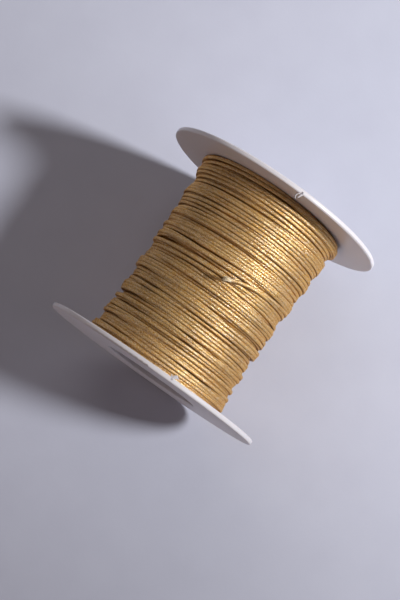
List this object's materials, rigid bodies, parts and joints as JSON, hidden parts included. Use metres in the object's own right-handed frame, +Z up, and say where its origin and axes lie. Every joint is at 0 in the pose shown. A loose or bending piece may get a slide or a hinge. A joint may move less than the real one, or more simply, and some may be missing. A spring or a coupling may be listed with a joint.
{
  "type": "spool of thread",
  "caption": "Two-flange plastic spool lying on its side, wound with metallic cord, with an open centre bore and a loose cord end.",
  "frame": {"origin": "on the surface the spool lies on, directly under the middle of its axis", "axes": "+X along the spool's axis, towards the end where the winding is fuller; +Z up; the spool lies on its two rims"},
  "size_m": [0.0684, 0.075, 0.075],
  "materials": {
    "white_plastic": "satin",
    "barrel_plastic": "satin",
    "gold_cord": "metallic braid",
    "core_fibre": "matt frayed fibre"
  },
  "bodies": {
    "root": {"near_flange": "white_plastic", "far_flange": "white_plastic", "barrel": "barrel_plastic", "thread": "gold_cord", "thread_end": "gold_cord"}
  },
  "joints": []
}
